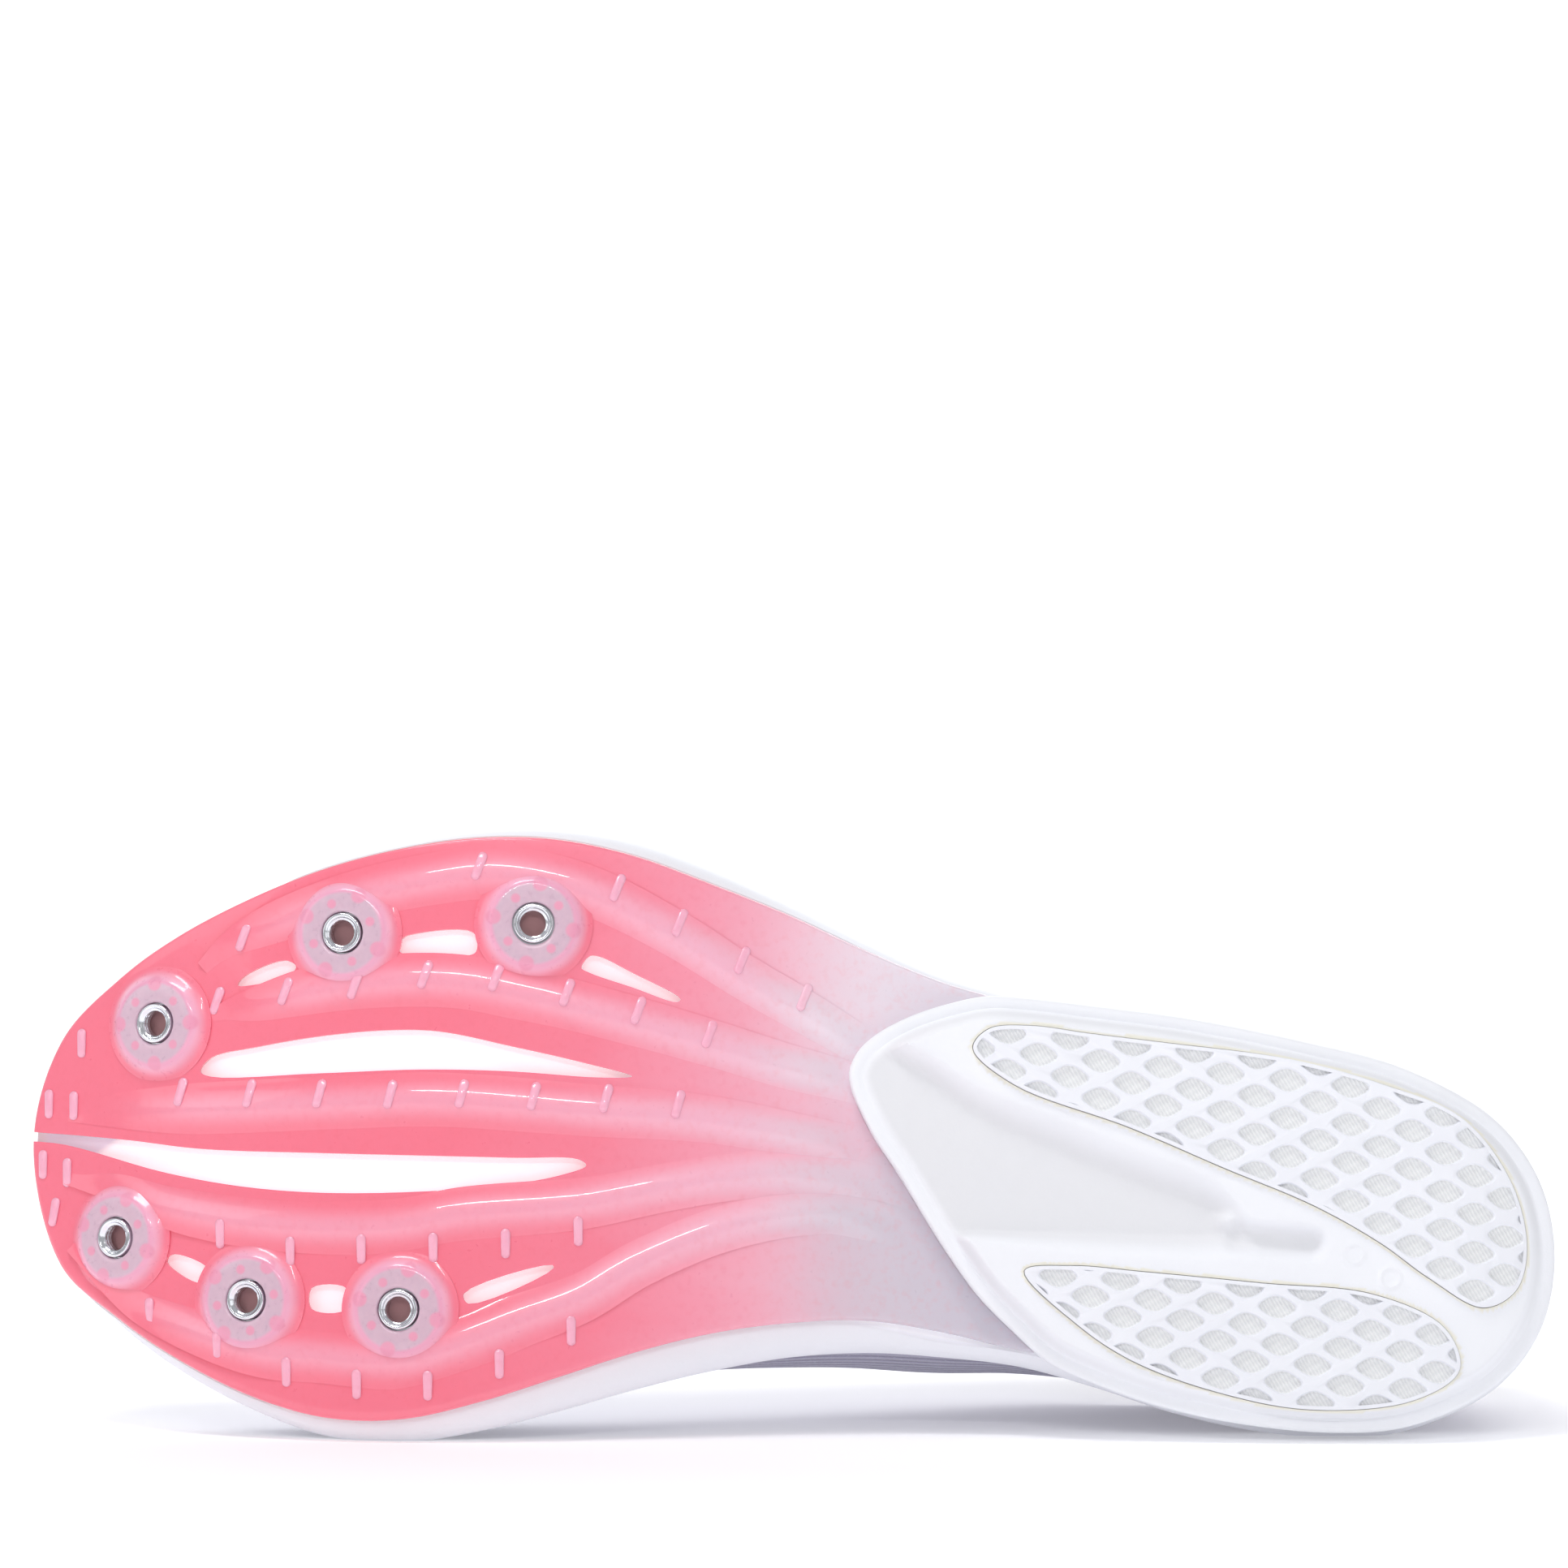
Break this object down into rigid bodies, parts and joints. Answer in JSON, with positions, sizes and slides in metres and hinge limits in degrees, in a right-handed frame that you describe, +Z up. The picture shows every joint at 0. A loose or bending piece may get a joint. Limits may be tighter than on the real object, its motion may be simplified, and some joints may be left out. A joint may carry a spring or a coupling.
{
  "type": "track spike shoe",
  "caption": "Left track spike shoe with a pink springy plate, a white foam midsole and heel piece, steel spike wells and a grey knitted upper, lying on its medial side.",
  "frame": {"origin": "on the floor, under the middle of the shoe's box", "axes": "+X from the toe to the heel, +Y from the sole to the collar, +Z up from the medial side, on which it lies, to the lateral side"},
  "size_m": [0.285, 0.102, 0.1126],
  "materials": {
    "foam": "white moulded foam, matt",
    "plate": "pink translucent plastic, satin gloss, paler on ribs and towards the heel",
    "heel_foam": "white moulded foam, matt",
    "pad": "off-white rubber lattice over a fine cloth texture",
    "steel": "turned steel, bright",
    "knit": "lavender-grey ribbed knit",
    "tongue": "grey padded cloth",
    "insole": "grey brushed cloth",
    "lace": "flat woven lace"
  },
  "bodies": {
    "root": {"midsole": "foam", "spike_plate": "plate", "heel_outsole": "heel_foam", "heel_pad_lateral": "pad", "heel_pad_medial": "pad", "spike_well_lateral_1": "steel", "spike_well_lateral_2": "steel", "spike_well_lateral_3": "steel", "spike_well_medial_1": "steel", "spike_well_medial_2": "steel", "spike_well_medial_3": "steel", "upper": "knit", "tongue": "tongue", "insole": "insole", "lace": "lace"}
  },
  "joints": []
}
